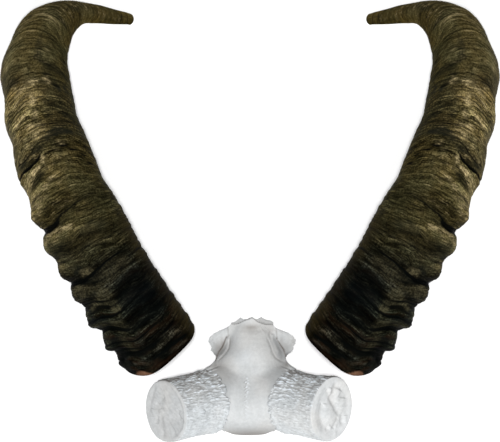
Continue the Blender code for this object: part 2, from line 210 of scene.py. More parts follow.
# Horn: its tones from base to tip as (share of its length, red, green, blue), as the screen shows them
INNER_TONES = (
    (0, 11, 12, 8), (0.02, 10, 11, 8), (0.04, 21, 18, 12), (0.075, 19, 17, 11), (0.1, 10, 12, 10),
    (0.17, 12, 13, 10), (0.23, 18, 18, 12), (0.295, 43, 40, 25), (0.36, 49, 45, 26), (0.55, 50, 44, 24),
    (0.75, 55, 50, 28), (0.88, 68, 58, 29), (0.95, 46, 41, 18), (1, 44, 38, 16),
)
# Painted light: the outer side's tones are paler and greyer than the inner side's, for the light that
# falls on it
OUTER_TONES = (
    (0, 9, 10, 7), (0.04, 10, 11, 8), (0.1, 19, 20, 14), (0.17, 20, 21, 14), (0.2, 18, 18, 13),
    (0.25, 22, 21, 14), (0.295, 65, 61, 41), (0.36, 69, 63, 39), (0.42, 76, 69, 43), (0.48, 95, 85, 54),
    (0.54, 66, 59, 36), (0.6, 124, 110, 70), (0.66, 66, 58, 36), (0.7, 92, 84, 56), (0.8, 83, 75, 48),
    (0.88, 66, 58, 35), (1, 72, 64, 37),
)
# Tones of the dark patches, for stains and painted shadow alike
STAIN_AND_SHADOW_TONES = ((0.05, 6, 8, 6), (0.15, 7, 10, 11), (0.22, 9, 12, 11), (0.34, 28, 29, 22))
# Tones of the pale patches, for wear and painted highlights alike
WORN_AND_HIGHLIGHT_TONES = ((0.05, 43, 41, 29), (0.16, 68, 65, 47), (0.26, 80, 74, 53), (0.4, 190, 171, 126))
RIM_TONES = (
    (0, 42, 36, 18), (0.08, 44, 37, 19), (0.11, 30, 25, 13), (0.19, 28, 24, 13), (0.22, 42, 36, 18),
    (0.3, 42, 36, 19),
)

# Plate: its own frame has x across, y forward, and its zero between the middles of the two cores
PLATE_PLACE = (-1.5, -232.1)
FRONT_DRIFT = 0.045
PLATE_FRONT = 100
PLATE_REAR = -47.6
OUTLINE_HALF_WIDTHS = (
    (-47.6, 17), (-44.4, 29), (-38, 35), (-25, 42), (0, 47), (30, 57), (38, 60), (40, 56.5), (42.5, 52),
    (45.5, 48.5), (49, 45.7), (53, 44.8), (57, 47.5), (61, 52.4), (67.5, 52.8), (70.5, 55), (74, 56.2),
    (77, 55.2), (81, 51.4), (84.5, 47.5), (89, 41), (93, 34.5), (97, 29), (100, 27),
)
FOREHEAD_HALF_WIDTHS = (
    (-47.6, 20), (-44.4, 32), (-38, 40), (-25, 50), (0, 54), (38, 52), (47, 48), (54, 45), (60, 41),
    (66, 37), (76, 32.4), (84, 31), (94, 30.5), (100, 29),
)
FOREHEAD_HEIGHTS = (
    (-47.6, 18), (-42, 44), (-33, 60), (-22, 68), (-12, 70), (5, 66), (20, 57), (35, 49), (46, 46.5),
    (57, 43.8), (70, 38.5), (85, 32), (100, 26.5),
)
FOREHEAD_SQUARENESS = 2.1
EDGE_HEIGHT = 7
WING_FLOOR_HEIGHTS = (
    (-47.6, 7), (28, 7), (35, 34), (41, 33), (48, 22), (56, 15), (75, 16), (88, 20), (100, 22),
)
WING_RIM_RISE = 6
FRONT_RIM = (
    (-30, 95.9), (-21.7, 95.4), (-16, 96.7), (-12, 99.4), (-6, 101.6), (-1, 103.8), (2, 102.6),
    (5.5, 99.4), (11, 96.9), (17, 95), (30, 94.4),
)
FRONT_SHELF = (
    (-30, 96.4), (-25, 97.4), (-21, 98.8), (-15.4, 103.7), (-11, 101), (-6, 102), (-1, 104.4), (5, 101),
    (11.8, 104.2), (17.6, 100.8), (23.9, 99.8), (28.7, 96.8), (31, 95.4),
)
FRONT_SHELF_HEIGHT = 16
PLATE_COLUMNS = 150
PLATE_ROWS = 170
WALL_ROWS = 6
CORE_SEEDS = {-1: 17, 1: 67}

# Plate: folds as (points across and forward, half width, height), below zero for a groove
PLATE_FOLDS = (
    (((-31.2, 94.2), (-30.3, 81.1), (-32.4, 76.4)), 0.8, -1.4),
    (((-31.5, 82), (-34, 76.4), (-38.5, 66.5), (-42, 60.4), (-44.5, 53), (-46, 46)), 0.9, -1.8),
    (((-29.5, 84.1), (-28.5, 75), (-30, 65.5), (-33.1, 58.6), (-38.3, 52.3), (-43.5, 47.2)), 1, -1.3),
    (((-30, 80), (-31.6, 72), (-34.6, 64), (-39, 56.5), (-44, 49.5)), 1.9, 2.4),
    (((30.5, 92.7), (32.2, 81.1), (32.4, 75)), 0.8, -1.4),
    (((31.5, 79), (32.4, 74.9), (36.2, 68.6), (41.2, 61.7), (44.6, 54.8), (48, 46)), 0.9, -1.8),
    (((18.7, 80.8), (22.1, 71), (25.7, 60.9), (31.5, 53.2), (39.6, 47.7), (45.7, 46.2)), 1, -1.2),
    (((27, 84), (27.5, 76), (31, 66), (37, 57)), 2.2, 1.8), (((24, 90), (22.5, 83), (24, 76)), 1, -0.7),
    (((-16, 87), (-8, 83.5), (2, 82.5), (12, 85), (18, 89)), 3, 0.6),
    (((-32, 80), (-34.5, 75.4), (-38.8, 65.5), (-42.5, 58.4), (-45.2, 49)), 0.5, -1.2),
    (((32, 77), (36.4, 67.6), (41.5, 60.7), (45, 53.8), (48, 46)), 0.5, -1.2),
)
WING_KNOBS = (
    (-52, 75, 1.6, 1.8), (-50.5, 70.5, 1.3, 1.4), (-53.5, 72, 0.9, -1.2), (52.5, 74, 1.7, 1.8),
    (50.5, 69.5, 1.3, 1.4), (54, 71.5, 0.9, -1.2), (-29.5, 79.5, 1.2, 1.3), (33, 80, 1, 1.3),
    (33.5, 75, 1.2, 1.4),
)

# Plate: places of painted shade in hollows, grooves and along edges, as (across, forward, spread across,
# spread forward, strength); a strength below zero paints light
PLATE_SHADE_SPOTS = (
    (-43, 64, 7.2, 9, 0.56), (43, 65, 7, 9, 0.38), (-38.5, 72.5, 2.6, 6, 0.32), (37.5, 74, 3, 7, 0.28),
    (54, 73, 2.5, 4, 0.26), (-4, 58, 18, 8, -0.1), (-26, 43, 7, 5, 0.08), (25, 43, 7, 5, 0.07),
    (-1.3, 92, 12, 4, 0.58), (-27, 89, 3.5, 6, 0.16), (26, 89, 4, 6, 0.16), (2, 87, 18, 5, 0.14),
    (-22, 93, 6, 7, 0.1), (22, 90, 7, 9, 0.14), (-26, 72, 6, 8, 0.1), (-42, 41, 9, 4.5, 0.3),
    (44, 41, 9, 4.5, 0.26), (-27, 32, 10, 11, 0.19), (25, 32, 10, 11, 0.17), (0, 42, 40, 2.2, 0.06),
    (-45, 49, 1.8, 5, 0.4), (46.5, 50, 1.8, 6, 0.4), (-52, 43, 6, 3, 0.35), (48, 44, 6, 3, 0.35),
    (2, -47.5, 42, 10.3, 0.76),
)

# Plate: the relief on the right core's cut end, in the same form, in shares of its radius
END_FOLDS = (
    (((0.91, -0.03), (0.71, -0.02), (0.53, 0.02), (0.33, 0.09),
      (0.16, -0.1), (0, -0.27), (-0.15, -0.52)), 0.09, -1.7),
    (((0.64, 0.34), (0.55, 0.26), (0.47, 0.195), (0.33, 0.09)), 0.08, -1.1),
    (((0.68, 0.17), (0.56, 0.2), (0.46, 0.12)), 0.09, 1.5),
    (((0.68, -0.2), (0.48, -0.16), (0.26, -0.14)), 0.15, 2.4),
    (((0.45, -0.46), (0.28, -0.46), (0.08, -0.48)), 0.2, 1.6),
    (((-0.08, -0.6), (-0.31, -0.59), (-0.45, -0.7)), 0.085, -1.2),
    (((-0.12, -0.76), (-0.38, -0.78)), 0.09, 1.2),
    (((0.22, 0.45), (0.158, 0.49), (-0.04, 0.53), (-0.26, 0.49),
      (-0.46, 0.35), (-0.62, 0.16)), 0.1, -1.3),
    (((0.22, 0.36), (0.1, 0.36)), 0.1, 0.8), (((-0.5, -0.05), (-0.6, 0)), 0.09, 1.8),
    (((-0.55, 0.14), (-0.66, 0.06)), 0.07, -1.2), (((-0.48, -0.3), (-0.56, -0.4)), 0.1, 1),
    (((-0.2, -0.42), (-0.45, -0.26), (-0.6, -0.22)), 0.08, -0.9),
    (((-0.7, -0.3), (-0.78, -0.42)), 0.08, 0.7),
)

# Plate: the fainter relief on the left core's cut end, in the same shares
LEFT_END_FOLDS = (
    (((0.53, 0.05), (0.35, -0.14), (0.24, -0.28), (0.15, -0.42)), 0.1, -1.1),
    (((0.3, -0.22), (0.09, -0.38)), 0.07, 0.7),
    (((-0.12, -0.43), (-0.26, -0.49), (-0.4, -0.53)), 0.07, -1.1),
    (((-0.1, -0.17), (-0.25, -0.29), (-0.47, -0.25), (-0.68, -0.26), (-0.9, -0.32)), 0.09, -1.2),
    (((0.86, -0.36), (0.57, -0.57), (0.24, -0.74), (0.05, -0.82)), 0.08, -0.9),
    (((0.04, 0.66), (-0.13, 0.65), (-0.34, 0.64)), 0.06, -0.7),
    (((-0.24, 0.26), (-0.41, 0.09), (-0.58, 0.21), (-0.8, 0.35)), 0.07, -0.5),
    (((0.1, -0.6), (-0.07, -0.64), (-0.22, -0.66)), 0.15, 0.9),
    (((0.08, -0.2), (-0.06, -0.18)), 0.13, 0.8),
)

# Horn cores: the middle of each cut end, the way each core points, and its girth
CORE_END = (104.2, -10, 87)
CORE_RISE = 43
CORE_SWEEP = 8
CORE_LENGTH = 118
CORE_RADII = ((0, 39), (50, 39.2), (75, 41), (95, 44), (118, 45))
CORE_RIM_DEPTH = 71
CORE_FLARES = {-1: ((222, 34, 3), (138, 26, 1.5), (62, 28, -1.8)), 1: ((5, 50, 4.6),)}
CORE_SIDES = 400
CORE_ROW_STEP = 0.85
CORE_CAP_ROWS = 40
CORE_SKIN_DEPTH = 2.4
COLLAR_GAP = 1.5
COLLAR_BLEND = 9

# Plaster: its colours, the brownish colour of painted shade and the bluish white of painted highlights,
# the painted light and shade on each cut end, and how flakes darken and lighten the cores
PLASTER_SHADE = (0.454, 0.468, 0.472)
PLASTER_LIGHT = (0.508, 0.518, 0.521)
PLASTER_WARM = (0.5, 0.492, 0.475)
PLASTER_SPECK = (0.367, 0.358, 0.333)
SHADE_COLOUR = (0.125, 0.105, 0.088)
CREST_HIGHLIGHT_COLOUR = (0.84, 0.91, 0.98)
END_LIGHT_GAINS = {-1: 0.97, 1: 1.21}
PLASTER_GLOSS = 0.12
FACET_TINTS = ((0.855, 0.87, 0.885), (1.11, 1.135, 1.155))


def eased(table, where, soften=SOFTEN):
    """Read a table of (place, value) pairs along a rounded line instead of a broken one."""
    places, values = zip(*table)
    spread = np.linspace(-soften, soften, 9)
    return np.mean([np.interp(np.asarray(where) + step, places, values) for step in spread], axis=0)


def eased_round(table, degrees, soften=12):
    """The same for a table of (angle, value) pairs that closes on itself at 360 degrees."""
    angles, values = zip(*table)
    spread = np.linspace(-soften, soften, 9)
    turned = [np.interp((np.asarray(degrees) + step) % 360, angles, values) for step in spread]
    return np.mean(turned, axis=0)


def sine(degrees):
    return np.sin(np.radians(degrees))


def cosine(degrees):
    return np.cos(np.radians(degrees))


def together(*arrays):
    """Arrays of single values as one array of vectors."""
    return np.stack(arrays, axis=-1)


def bell(distance, spread):
    return np.exp(-((distance / spread) ** 2))


def smooth_step(value, low, high):
    share = np.clip((value - low) / (high - low), 0, 1)
    return share * share * (3 - 2 * share)


def smooth_highest(first, second, blend):
    """The higher of two heights, rounded where they meet."""
    mix = np.clip(0.5 + 0.5 * (first - second) / blend, 0, 1)
    return second * (1 - mix) + first * mix + blend * mix * (1 - mix)


def patchy(seed, along, turn, along_cell, cells_round):
    """Smooth random values between -1 and 1, closed round the turn, whose cells have the given size."""
    count = int((np.max(along) - NOISE_START) / along_cell) + 3
    grid = np.random.default_rng(seed).uniform(-1, 1, (count, cells_round))
    u = (along - NOISE_START) / along_cell
    v = (turn % 360) / 360 * cells_round
    i = np.floor(u).astype(int)
    j = np.floor(v).astype(int)
    a = u - i
    b = v - j
    a = a * a * (3 - 2 * a)
    b = b * b * (3 - 2 * b)
    j0 = j % cells_round
    j1 = (j + 1) % cells_round
    low = grid[i, j0] * (1 - b) + grid[i, j1] * b
    high = grid[i + 1, j0] * (1 - b) + grid[i + 1, j1] * b
    return low * (1 - a) + high * a


def grid_mesh(name, points, faces):
    """A mesh in metres from points in millimetres and faces of three or four corners."""
    mesh = bpy.data.meshes.new(name)
    mesh.from_pydata((np.asarray(points) * MILLIMETRE).tolist(), [], faces)
    mesh.update()
    return mesh


def ring_faces(rings, sides):
    """Faces that join each ring of points to the next, and the last round to the first."""
    low = np.arange(rings - 1)[:, None] * sides + np.arange(sides)[None, :]
    ahead = np.arange(rings - 1)[:, None] * sides + (np.arange(sides)[None, :] + 1) % sides
    return together(low, ahead, ahead + sides, low + sides).reshape(-1, 4).tolist()


def closed_mesh(name, rings, last_pole, first_pole, flipped):
    """A closed surface of rings, with one pole beyond the last ring and one before the first."""
    count, sides = rings.shape[:2]
    points = np.concatenate([rings.reshape(-1, 3), [last_pole, first_pole]])
    faces = ring_faces(count, sides)
    last = (count - 1) * sides
    for number in range(sides):
        ahead = (number + 1) % sides
        faces.append((last + number, last + ahead, count * sides))
        faces.append((ahead, number, count * sides + 1))
    if flipped:
        faces = [tuple(reversed(face)) for face in faces]
    return grid_mesh(name, points, faces)


def add_object(name, data):
    made = bpy.data.objects.new(name, data)
    bpy.context.scene.collection.objects.link(made)
    return made


def add_attribute(mesh, name, values):
    layer = mesh.attributes.new(name, "FLOAT_VECTOR", "POINT")
    layer.data.foreach_set("vector", np.asarray(values, np.float32).ravel())


def add_piece(name, mesh, surface, node):
    mesh.materials.append(surface)
    mesh.shade_smooth()
    piece = add_object(name, mesh)
    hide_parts(node)
    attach(piece, "root")
    return piece


class HornPath:
    """The horn's centre line: where it is, and how it heads and climbs, at a length from the base."""

    def __init__(self):
        self.lengths = np.arange(-RIM_OVERRUN, HORN_LENGTH + 1, 1)
        ends = np.cumsum([0] + [length for length, _ in HORN_BENDS])
        turned = np.cumsum([0] + [turn for _, turn in HORN_BENDS])
        turns = np.interp(self.lengths, ends, turned)
        self.headings = np.radians(HORN_BASE_HEADING - turns)
        self.x = self.summed(np.sin(self.headings)) + HORN_BASE[0]
        self.y = self.summed(np.cos(self.headings)) + HORN_BASE[1]
        half_depths = half_width(self.lengths) * DEPTH_TO_WIDTH
        self.z = eased(UNDERSIDE_HEIGHTS, self.lengths, 25) + half_depths
        self.pitches = np.arctan(np.gradient(self.z, self.lengths))

    def summed(self, slopes):
        middles = (slopes[1:] + slopes[:-1]) / 2
        total = np.concatenate([[0], np.cumsum(middles)])
        return total - np.interp(0, self.lengths, total)

    def surface_point(self, length, degrees, radius):
        """A point at an angle round the line: 0 is the side towards the other horn, and 90 is up."""
        lines = (self.headings, self.pitches, self.x, self.y, self.z)
        heading, pitch, x, y, z = (np.interp(length, self.lengths, line) for line in lines)
        across = radius * cosine(degrees)
        above = radius * sine(degrees)
        back = above * np.sin(pitch)
        x = x - across * np.cos(heading) - back * np.sin(heading)
        y = y + across * np.sin(heading) - back * np.cos(heading)
        return together(x, y, z + above * np.cos(pitch))


def half_width(length):
    return eased(HALF_WIDTHS, length, 9)


def section_radius(length, degrees):
    """The horn's radius without its rings: a squarish oval with the keel raised on it."""
    turn = np.radians(degrees)
    width = half_width(length)
    depth = width * DEPTH_TO_WIDTH
    across = np.abs(np.cos(turn) / width) ** SECTION_SQUARENESS
    above = np.abs(np.sin(turn) / depth) ** SECTION_SQUARENESS
    keel = eased(KEEL_HEIGHTS, length) * bell(degrees - KEEL_ANGLE, KEEL_SPREAD)
    return (across + above) ** (-1 / SECTION_SQUARENESS) + keel


def ring_wave(row):
    """Between -1 in a ring's notch and 1 on its crest."""
    share = np.interp(row, RING_NOTCHES, range(len(RING_NOTCHES))) % 1
    rising = share / RING_CREST_SHARE
    falling = (1 - share) / (1 - RING_CREST_SHARE)
    return -np.cos(math.pi * np.minimum(rising, falling))


def ring_strength(degrees):
    facing = 0.5 + 0.5 * cosine(degrees - RING_MIDDLE_ANGLE)
    return RING_INNER_SHARE + (1 - RING_INNER_SHARE) * facing


def ring_lag(row, degrees):
    """How far towards the tip a ring lies at an angle round the horn, measured from its back."""
    start = KEEL_DIP_ANGLE - 4
    under = smooth_step(degrees, 300, 220)
    outer = smooth_step(degrees, start, KEEL_DIP_ANGLE + 22) * under
    inner = smooth_step(degrees, start, KEEL_DIP_ANGLE - 40) * smooth_step(degrees, 0, 25)
    edge = eased(EDGE_LAG, row, 8) * smooth_step(degrees, 118, 185) * under
    arch = np.tanh((1 - sine(degrees)) / 0.9) / 0.62
    dip = eased(KEEL_DIP_OUTER, row, 8) * outer + eased(KEEL_DIP_INNER, row, 8) * inner
    return dip + edge - eased(RING_ARCH, row) * arch


def blurred(field, rows):
    """The field averaged over a run of rows on both sides."""
    padded = np.concatenate([field[:1].repeat(rows, 0), field, field[-1:].repeat(rows, 0)])
    total = np.cumsum(np.concatenate([np.zeros((1, field.shape[1])), padded]), axis=0)
    return (total[2 * rows + 1:] - total[:-2 * rows - 1]) / (2 * rows + 1)


def distance_to_line(x, y, line):
    """How far each place is from a broken line, and how far along the line it is, as a share."""
    nearest = np.full_like(x, 1e9)
    share = np.zeros_like(x)
    count = len(line) - 1
    for number, (start, end) in enumerate(zip(line[:-1], line[1:])):
        dx = end[0] - start[0]
        dy = end[1] - start[1]
        t = np.clip(((x - start[0]) * dx + (y - start[1]) * dy) / (dx * dx + dy * dy), 0, 1)
        distance = np.hypot(x - start[0] - t * dx, y - start[1] - t * dy)
        closer = distance < nearest
        nearest = np.where(closer, distance, nearest)
        share = np.where(closer, (number + t) / count, share)
    return nearest, share


def crease_field(row, degrees):
    """How deep the creases cut at each ring and angle, and where their dark lines lie."""
    wander = 1.6 * patchy(HORN_SEED + 1, row, degrees, 30, 14)
    wander = wander + 0.7 * patchy(HORN_SEED + 2, row, degrees, 12, 40)
    depth = np.zeros_like(row)
    for ring, first, last, cut, half, outer_extra in CREASES:
        ends = smooth_step(degrees, first - 9, first + 9) * smooth_step(degrees, last + 9, last - 9)
        cut_here = cut + outer_extra * bell(degrees - CREASE_OUTER_ANGLE, CREASE_OUTER_SPREAD)
        distance = row + wander - ring
        steep = np.where(distance > 0, 0.75 * half, 1.5 * half)
        depth += ends * cut_here * bell(distance, steep)
    for line, half, cut in CRACKS:
        scaled = [(ring, angle * CRACK_DEGREE) for ring, angle in line]
        distance, share = distance_to_line(row + 0.6 * wander, degrees * CRACK_DEGREE, scaled)
        ends = cut * smooth_step(share, 0, 0.1) * smooth_step(share, 1, 0.75)
        depth += ends * bell(distance, np.maximum(half * (1.15 - 0.7 * share), 0.6))
    return depth


def spots(table, row, degrees, sharpness=1.6):
    """The sum of the table's spots, flat in the middle and soft at the rim, at each ring and angle."""
    total = np.zeros_like(row)
    for ring, angle, along, around, strength in table:
        away = ((row - ring) / along) ** 2 + ((degrees - angle) / around) ** 2
        total += strength * bell(away, sharpness)
    return total


def horn_relief(row, degrees):
    """Height of everything on the horn's skin above its plain section, and how much of it is fine."""
    fade = smooth_step(row, 560, 430)
    base = smooth_step(row, 210, 60)
    outer = 0.5 + 0.5 * cosine(degrees - RING_MIDDLE_ANGLE)
    rings = eased(RING_DEPTHS, row) * ring_strength(degrees) * ring_wave(row)
    wander = row + 2 * patchy(HORN_SEED + 3, row, degrees, 26, 12)
    lumps = patchy(HORN_SEED + 4, row, degrees, 17, 16) * (0.35 + 0.75 * base * outer)
    ridges = patchy(HORN_SEED + 5, wander, degrees, 5, 12) * (0.45 + 0.45 * base)
    wrinkles = patchy(HORN_SEED + 6, wander, degrees, 2.6, 20) * (0.3 + 0.25 * base)
    lines = patchy(HORN_SEED + 7, wander, degrees, 1.35, 26) * 0.2
    grain = patchy(HORN_SEED + 8, wander, degrees, 1.35, 75) * 0.1
    knobs = spots(KNOBS, row, degrees)
    creases = crease_field(row, degrees)
    fine = fade * (ridges + wrinkles + lines + grain)
    return rings + fade * lumps + knobs * 0.9 + fine - creases, creases, fine


def horn_outside(path):
    """Points of the outside from the rim to the tip, with the values that colour them."""
    degrees = np.arange(HORN_SIDES) * 360 / HORN_SIDES
    last = HORN_LENGTH - TIP_ROUNDING
    rows = np.linspace(0, last, int(last / HORN_ROW_STEP))
    row, angle = np.meshgrid(rows, degrees, indexing="ij")
    rim = eased_round(RIM_OFFSETS, angle) * np.clip(1 - row / RIM_FADE, 0, 1) ** 1.5
    length = np.clip(row + rim + ring_lag(row, angle), -RIM_OVERRUN, HORN_LENGTH)
    relief, creases, fine = horn_relief(row, angle)
    relief = relief * smooth_step(row, -2, 5)
    underneath = bell(angle - UNDERSIDE_ANGLE, 40) * smooth_step(row, 430, 400)
    flattened = relief * (1 - UNDERSIDE_WEAR * bell(angle - UNDERSIDE_ANGLE, 45))
    relief = np.where(relief > 0, flattened, relief)
    trim = eased(INNER_TRIM, length, 4) * bell((angle + 90) % 360 - 90, INNER_TRIM_SPREAD)
    trim = trim + eased(OUTER_TRIM, length, 4) * bell(angle - OUTER_TRIM_ANGLE, OUTER_TRIM_SPREAD)
    radius = section_radius(length, angle) + relief + trim - 0.4 * underneath
    points = path.surface_point(length, angle, radius)

    # Slope of the relief along the horn, for painted light on faces turned towards the tip and painted
    # shade on faces turned towards the base
    slope = np.gradient(blurred(relief, 2), axis=0) / HORN_ROW_STEP
    # Hollows and creases, for painted shade there
    hollow = np.clip((blurred(relief, 9) - relief) / 1.3, 0, 1)
    crevice = np.clip(0.75 * hollow + 0.85 * np.clip(creases / 1.6, 0, 1), 0, 1)
    ragged_row = row + 2.2 * patchy(HORN_SEED + 9, row, angle, 5, 40)
    ragged_angle = angle + 5 * patchy(HORN_SEED + 10, row, angle, 4, 36)
    lit_side = smooth_step(ragged_angle, 72, 84)
    # Pale patches, partly wear and partly painted highlights
    pale = spots(PALE_AND_HIGHLIGHT_PATCHES, ragged_row, ragged_angle)
    # Dark patches, partly stains and partly painted shadow, and painted shadow on the side below about 80
    # degrees over rings 296 to 385
    stain_and_shadow = spots(STAINS_AND_SHADOWS, ragged_row, ragged_angle)
    stain_and_shadow = stain_and_shadow + 0.45 * (1 - lit_side) * smooth_step(row, 296, 308) * smooth_step(row, 385, 372)
    outer = 0.5 + 0.5 * cosine(angle - RING_MIDDLE_ANGLE)
    straight = together(radius * cosine(angle), radius * sine(angle), row)
    red_middle, red_spread, red_width = RED_RIM
    red_rows = red_width * (1 - ((angle - red_middle) / red_spread) ** 2)
    place = together(length / HORN_LENGTH, outer, smooth_step(red_rows - row, -0.6, 0.6))
    marks = together(crevice, pale, stain_and_shadow)
    # How near each place is to a side seen edge-on from above, for painted light there
    edge = np.clip(1 - np.abs(sine(angle)), 0, 1)
    shade = together(np.clip(0.5 + 0.9 * slope, 0, 1), fine, edge)
    return points, straight, place, marks, shade


def horn_mesh(name, side):
    """One sheath: outside, rim and socket in one closed surface. side is -1 for left and 1 for right."""
    path = HornPath()
    points, straight, place, marks, shade = horn_outside(path)
    degrees = np.arange(HORN_SIDES) * 360 / HORN_SIDES
    tip_start = HORN_LENGTH - TIP_ROUNDING
    tip_rows = []
    for turn in np.linspace(0, math.pi / 2, TIP_ROWS + 1)[1:-1]:
        radius = section_radius(tip_start, degrees) * math.cos(turn)
        tip_rows.append(path.surface_point(tip_start + TIP_ROUNDING * math.sin(turn), degrees, radius))

    depths = np.linspace(0, SOCKET_DEPTH, SOCKET_ROWS + 1)[:-1]
    depth, angle = np.meshgrid(depths, degrees, indexing="ij")
    length = depth + eased_round(RIM_OFFSETS, angle) * (1 - depth / SOCKET_DEPTH) ** 2
    wall = np.interp(depth, *zip(*SOCKET_WALLS))
    rough = 0.5 * patchy(HORN_SEED + 20, depth, angle, 9, 30) * smooth_step(depth, 0, 12)
    socket = path.surface_point(length, angle, section_radius(length, angle) - wall + rough)

    mirror = np.array([side, 1, 1])
    rings = np.concatenate([socket[::-1], points, np.array(tip_rows)]) * mirror
    tip = path.surface_point(HORN_LENGTH, 0, 0) * mirror
    socket_end = path.surface_point(SOCKET_DEPTH, 0, 0) * mirror
    mesh = closed_mesh(name, rings, tip, socket_end, side > 0)

    def spread_out(values, inside, end):
        """Values for the socket, the outside, the tip and the two poles, in the mesh's order."""
        inner = np.broadcast_to(inside, (SOCKET_ROWS, HORN_SIDES, 3)).reshape(-1, 3)
        tips = np.repeat(values[-1:], len(tip_rows), axis=0).reshape(-1, 3)
        return np.concatenate([inner, values.reshape(-1, 3), tips, values[-1, :1], np.array([end])])

    lined = together(SOCKET_GIRTH * cosine(angle), SOCKET_GIRTH * sine(angle), depth)[::-1]
    add_attribute(mesh, "straight", spread_out(straight, lined, (0, 0, SOCKET_DEPTH)) * MILLIMETRE)
    for key, values, inner in (
        ("place", place, (0, 0, 1)),
        ("marks", marks, (0, 0, 0)),
        ("shade", shade, (0.5, 0, 0)),
    ):
        add_attribute(mesh, key, spread_out(values, inner, inner))
    return mesh


class Surface:
    """A node material under construction, with short ways to add the nodes it needs."""

    def __init__(self, name):
        self.material = bpy.data.materials.new(name)
        self.material.use_nodes = True
        self.tree = self.material.node_tree
        self.shader = self.tree.nodes["Principled BSDF"]

    def node(self, kind, **settings):
        made = self.tree.nodes.new(kind)
        for key, value in settings.items():
            setattr(made, key, value)
        return made

    def feed(self, socket, value):
        if isinstance(value, bpy.types.NodeSocket):
            self.tree.links.new(value, socket)
        else:
            socket.default_value = value

    def attribute(self, name):
        return self.node("ShaderNodeAttribute", attribute_name=name).outputs["Vector"]

    def parts(self, vector):
        split = self.node("ShaderNodeSeparateXYZ")
        self.feed(split.inputs[0], vector)
        return tuple(split.outputs)

    def vector(self, operation, first, second):
        made = self.node("ShaderNodeVectorMath", operation=operation)
        self.feed(made.inputs[0], first)
        self.feed(made.inputs[1], second)
        return made.outputs[0]

    def noise(self, vector, scale, detail=3, roughness=0.5):
        made = self.node("ShaderNodeTexNoise")
        self.feed(made.inputs["Vector"], vector)
        for socket, value in (("Scale", scale), ("Detail", detail), ("Roughness", roughness)):
            made.inputs[socket].default_value = value
        return made.outputs[0]

    def streaks(self, vector, scales, detail=2, roughness=0.6):
        """Noise with a scale of its own on each axis."""
        return self.noise(self.vector("MULTIPLY", vector, scales), 1, detail, roughness)

    def between(self, share, first, second):
        """A value that goes from the first to the second as the share goes from 0 to 1."""
        return self.maths("ADD", first, self.product(share, self.maths("SUBTRACT", second, first)))

    def maths(self, operation, first, second=0):
        made = self.node("ShaderNodeMath", operation=operation)
        self.feed(made.inputs[0], first)
        self.feed(made.inputs[1], second)
        return made.outputs[0]

    def product(self, first, second):
        return self.maths("MULTIPLY", first, second)

    def ranged(self, value, low, high, to_low=0, to_high=1):
        """The value carried from one range over to another, and held at the ends."""
        made = self.node("ShaderNodeMapRange", clamp=True)
        for socket, part in zip(made.inputs, (value, low, high, to_low, to_high)):
            self.feed(socket, part)
        return made.outputs[0]

    def ramp(self, value, stops):
        made = self.node("ShaderNodeValToRGB")
        self.feed(made.inputs[0], value)
        band = made.color_ramp
        while len(band.elements) < len(stops):
            band.elements.new(0.5)
        for element, (place, colour) in zip(band.elements, stops):
            element.position = place
            element.color = (*colour, 1)
        return made.outputs[0]

    def tones(self, value, rows):
        """A colour ramp over rows of a place and a colour as the screen shows it."""
        return self.ramp(value, [(place, seen(*shown)) for place, *shown in rows])

    def times(self, first, second):
        """One colour times the other."""
        return self.mixed(1, first, second, "MULTIPLY")

    def mixed(self, share, first, second, blend="MIX"):
        made = self.node("ShaderNodeMix", data_type="RGBA", blend_type=blend)
        self.feed(made.inputs[0], share)
        for socket, value in ((made.inputs[6], first), (made.inputs[7], second)):
            if not isinstance(value, bpy.types.NodeSocket):
                value = (*value, 1)
            self.feed(socket, value)
        return made.outputs[2]

    def dress(self, colour, roughness, gloss):
        self.feed(self.shader.inputs["Base Color"], colour)
        self.feed(self.shader.inputs["Roughness"], roughness)
        self.shader.inputs["Specular IOR Level"].default_value = gloss

    def bump(self, height, distance, strength):
        made = self.node("ShaderNodeBump")
        self.feed(made.inputs["Height"], height)
        made.inputs["Distance"].default_value = distance
        made.inputs["Strength"].default_value = strength
        self.feed(self.shader.inputs["Normal"], made.outputs[0])


def seen(red, green, blue):
    """A colour as the screen shows it, from 0 to 255, turned into what a shader needs in this light."""
    shares = [value / 255 for value in (red, green, blue)]
    linear = [s / 12.92 if s <= 0.04045 else ((s + 0.055) / 1.055) ** 2.4 for s in shares]
    return tuple(LIGHT_TO_COLOUR * value for value in linear)


